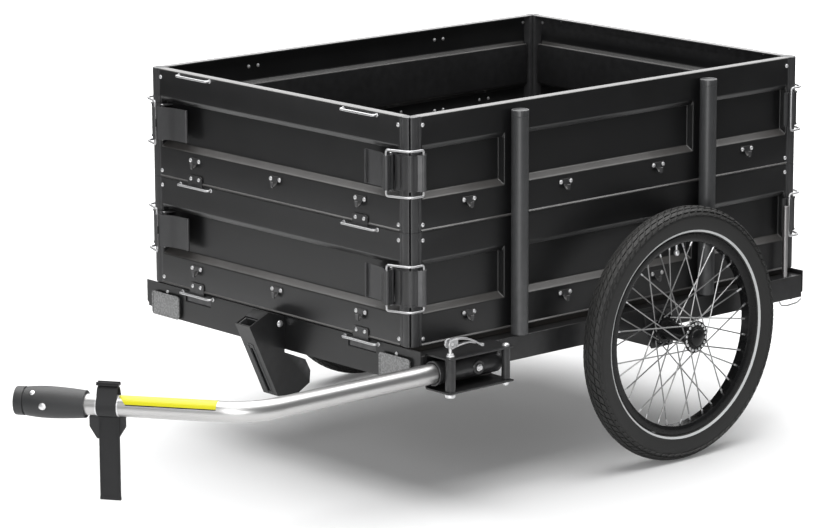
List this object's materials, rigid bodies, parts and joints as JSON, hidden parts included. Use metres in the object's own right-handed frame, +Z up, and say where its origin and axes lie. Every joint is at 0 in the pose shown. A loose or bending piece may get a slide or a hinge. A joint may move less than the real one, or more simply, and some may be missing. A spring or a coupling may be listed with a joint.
{
  "type": "cargo bike trailer",
  "caption": "Two-wheeled cargo trailer for a bicycle: low chassis, stacked pressed-metal side panels with corner latches, side drawbar, strap and parking stand.",
  "frame": {"origin": "middle of the underside of the overall bounding box, on the ground", "axes": "+Z up; -Y from the box towards the end of the drawbar; +X to the trailer's left side, where the drawbar is"},
  "size_m": [1.036, 1.7444, 0.7377],
  "materials": {
    "panel_black": "satin black powder coat",
    "rail_black": "satin black powder coat",
    "stake_grey": "matt dark grey coat",
    "floor": "dark film-faced board",
    "chrome_wire": "bright plated wire",
    "bright_steel": "bright zinc plated",
    "bare_aluminium": "bare satin aluminium",
    "tyre": "matt black rubber",
    "rim_black": "black anodised",
    "head_rubber": "matt black",
    "webbing": "black woven webbing",
    "pad_rubber": "matt black",
    "clear_lens": "clear prismatic reflector",
    "red_lens": "red prismatic reflector"
  },
  "bodies": {
    "chassis": {"front_plate": "rail_black", "rear_plate": "rail_black", "left_rail": "rail_black", "right_rail": "rail_black", "floor_sheet": "floor", "left_front_reflector": "clear_lens", "right_front_reflector": "clear_lens", "left_rear_reflector": "red_lens", "right_rear_reflector": "red_lens", "left_front_stake": "stake_grey", "right_front_stake": "stake_grey", "left_rear_stake": "stake_grey", "right_rear_stake": "stake_grey", "flag_tube": "bare_aluminium", "axle_beam": "rail_black", "left_stub_axle": "bright_steel", "right_stub_axle": "bright_steel", "socket_bracket": "rail_black", "spacer_bolt": "stake_grey", "clamp_skewer": "bright_steel", "stand_housing": "rail_black", "stand_pivot_bolt": "bright_steel"},
    "left_wheel": {"left_tyre": "tyre", "left_rim": "rim_black", "left_hub": "bright_steel"},
    "right_wheel": {"right_tyre": "tyre", "right_rim": "rim_black", "right_hub": "bright_steel"},
    "lower_level": {"lower_front_panel": "panel_black", "lower_rear_panel": "panel_black", "lower_left_panel": "panel_black", "lower_right_panel": "panel_black"},
    "upper_level": {"upper_front_panel": "panel_black", "upper_rear_panel": "panel_black", "upper_left_panel": "panel_black", "upper_right_panel": "panel_black"},
    "lower_front_left_latch": {"lower_front_left_lever": "panel_black"},
    "lower_front_right_latch": {"lower_front_right_lever": "panel_black"},
    "lower_rear_left_latch": {"lower_rear_left_lever": "panel_black"},
    "lower_rear_right_latch": {"lower_rear_right_lever": "panel_black"},
    "upper_front_left_latch": {"upper_front_left_lever": "panel_black"},
    "upper_front_right_latch": {"upper_front_right_lever": "panel_black"},
    "upper_rear_left_latch": {"upper_rear_left_lever": "panel_black"},
    "upper_rear_right_latch": {"upper_rear_right_lever": "panel_black"},
    "lower_front_left_wire": {"lower_front_left_bail": "chrome_wire"},
    "lower_front_right_wire": {"lower_front_right_bail": "chrome_wire"},
    "lower_rear_left_wire": {"lower_rear_left_bail": "chrome_wire"},
    "lower_rear_right_wire": {"lower_rear_right_bail": "chrome_wire"},
    "upper_front_left_wire": {"upper_front_left_bail": "chrome_wire"},
    "upper_front_right_wire": {"upper_front_right_bail": "chrome_wire"},
    "upper_rear_left_wire": {"upper_rear_left_bail": "chrome_wire"},
    "upper_rear_right_wire": {"upper_rear_right_bail": "chrome_wire"},
    "drawbar": {"drawbar_tube": "bare_aluminium", "coupling_head": "head_rubber", "strap": "webbing", "strap_pad": "pad_rubber"},
    "quick_release": {"cam_lever": "chrome_wire"},
    "plunger": {"locking_plunger": "bright_steel"},
    "stand_slider": {"stand_leg": "stake_grey"},
    "stand_clamp": {"wing_screw": "bright_steel"}
  },
  "joints": [
    {"name": "left_wheel_spin", "type": "hinge", "parent": "chassis", "child": "left_wheel", "pos_m": [0.465, 0.43974, 0.25], "axis": [1, 0, 0], "continuous": true},
    {"name": "right_wheel_spin", "type": "hinge", "parent": "chassis", "child": "right_wheel", "pos_m": [-0.465, 0.43974, 0.25], "axis": [1, 0, 0], "continuous": true},
    {"name": "lower_level_lift", "type": "slide", "parent": "chassis", "child": "lower_level", "axis": [0, 0, 1], "range_m": [0, 0.12]},
    {"name": "upper_level_lift", "type": "slide", "parent": "lower_level", "child": "upper_level", "axis": [0, 0, 1], "range_m": [0, 0.12]},
    {"name": "lower_front_left_lever_swing", "type": "hinge", "parent": "lower_level", "child": "lower_front_left_latch", "pos_m": [0.341, -0.19226, 0.419], "axis": [0, 0, 1], "range_deg": [0, 60]},
    {"name": "lower_front_right_lever_swing", "type": "hinge", "parent": "lower_level", "child": "lower_front_right_latch", "pos_m": [-0.341, -0.19226, 0.419], "axis": [0, 0, -1], "range_deg": [0, 60]},
    {"name": "lower_rear_left_lever_swing", "type": "hinge", "parent": "lower_level", "child": "lower_rear_left_latch", "pos_m": [0.341, 0.85174, 0.419], "axis": [0, 0, -1], "range_deg": [0, 60]},
    {"name": "lower_rear_right_lever_swing", "type": "hinge", "parent": "lower_level", "child": "lower_rear_right_latch", "pos_m": [-0.341, 0.85174, 0.419], "axis": [0, 0, 1], "range_deg": [0, 60]},
    {"name": "upper_front_left_lever_swing", "type": "hinge", "parent": "upper_level", "child": "upper_front_left_latch", "pos_m": [0.341, -0.19226, 0.634], "axis": [0, 0, 1], "range_deg": [0, 60]},
    {"name": "upper_front_right_lever_swing", "type": "hinge", "parent": "upper_level", "child": "upper_front_right_latch", "pos_m": [-0.341, -0.19226, 0.634], "axis": [0, 0, -1], "range_deg": [0, 60]},
    {"name": "upper_rear_left_lever_swing", "type": "hinge", "parent": "upper_level", "child": "upper_rear_left_latch", "pos_m": [0.341, 0.85174, 0.634], "axis": [0, 0, -1], "range_deg": [0, 60]},
    {"name": "upper_rear_right_lever_swing", "type": "hinge", "parent": "upper_level", "child": "upper_rear_right_latch", "pos_m": [-0.341, 0.85174, 0.634], "axis": [0, 0, 1], "range_deg": [0, 60]},
    {"name": "lower_front_left_wire_swing", "type": "hinge", "parent": "lower_front_left_latch", "child": "lower_front_left_wire", "pos_m": [0.345, -0.20725, 0.419], "axis": [0, 0, 1], "range_deg": [-45, 0]},
    {"name": "lower_front_right_wire_swing", "type": "hinge", "parent": "lower_front_right_latch", "child": "lower_front_right_wire", "pos_m": [-0.345, -0.20725, 0.419], "axis": [0, 0, -1], "range_deg": [-45, 0]},
    {"name": "lower_rear_left_wire_swing", "type": "hinge", "parent": "lower_rear_left_latch", "child": "lower_rear_left_wire", "pos_m": [0.345, 0.86674, 0.419], "axis": [0, 0, -1], "range_deg": [-45, 0]},
    {"name": "lower_rear_right_wire_swing", "type": "hinge", "parent": "lower_rear_right_latch", "child": "lower_rear_right_wire", "pos_m": [-0.345, 0.86674, 0.419], "axis": [0, 0, 1], "range_deg": [-45, 0]},
    {"name": "upper_front_left_wire_swing", "type": "hinge", "parent": "upper_front_left_latch", "child": "upper_front_left_wire", "pos_m": [0.345, -0.20725, 0.634], "axis": [0, 0, 1], "range_deg": [-45, 0]},
    {"name": "upper_front_right_wire_swing", "type": "hinge", "parent": "upper_front_right_latch", "child": "upper_front_right_wire", "pos_m": [-0.345, -0.20725, 0.634], "axis": [0, 0, -1], "range_deg": [-45, 0]},
    {"name": "upper_rear_left_wire_swing", "type": "hinge", "parent": "upper_rear_left_latch", "child": "upper_rear_left_wire", "pos_m": [0.345, 0.86674, 0.634], "axis": [0, 0, -1], "range_deg": [-45, 0]},
    {"name": "upper_rear_right_wire_swing", "type": "hinge", "parent": "upper_rear_right_latch", "child": "upper_rear_right_wire", "pos_m": [-0.345, 0.86674, 0.634], "axis": [0, 0, 1], "range_deg": [-45, 0]},
    {"name": "drawbar_slide", "type": "slide", "parent": "chassis", "child": "drawbar", "axis": [0, -1, 0], "range_m": [0, 0.12]},
    {"name": "quick_release_swing", "type": "hinge", "parent": "chassis", "child": "quick_release", "pos_m": [0.46617, -0.15926, 0.327], "axis": [1, 0, 0], "range_deg": [0, 170]},
    {"name": "plunger_pull", "type": "slide", "parent": "chassis", "child": "plunger", "axis": [1, 0, 0], "range_m": [0, 0.008], "stiffness_N_per_m": 600, "springref_m": -0.004},
    {"name": "stand_slide", "type": "slide", "parent": "chassis", "child": "stand_slider", "axis": [0, 0.4199, -0.9076], "range_m": [0, 0.12]},
    {"name": "stand_clamp_turn", "type": "hinge", "parent": "chassis", "child": "stand_clamp", "pos_m": [-0.002, -0.19068, 0.1857], "axis": [0, 0.9076, 0.4199], "range_deg": [0, 360]}
  ],
  "couplings": [
    {"joint": "lower_front_left_wire_swing", "follows": "lower_front_left_lever_swing", "ratio": -0.75},
    {"joint": "lower_front_right_wire_swing", "follows": "lower_front_right_lever_swing", "ratio": -0.75},
    {"joint": "lower_rear_left_wire_swing", "follows": "lower_rear_left_lever_swing", "ratio": -0.75},
    {"joint": "lower_rear_right_wire_swing", "follows": "lower_rear_right_lever_swing", "ratio": -0.75},
    {"joint": "upper_front_left_wire_swing", "follows": "upper_front_left_lever_swing", "ratio": -0.75},
    {"joint": "upper_front_right_wire_swing", "follows": "upper_front_right_lever_swing", "ratio": -0.75},
    {"joint": "upper_rear_left_wire_swing", "follows": "upper_rear_left_lever_swing", "ratio": -0.75},
    {"joint": "upper_rear_right_wire_swing", "follows": "upper_rear_right_lever_swing", "ratio": -0.75}
  ]
}
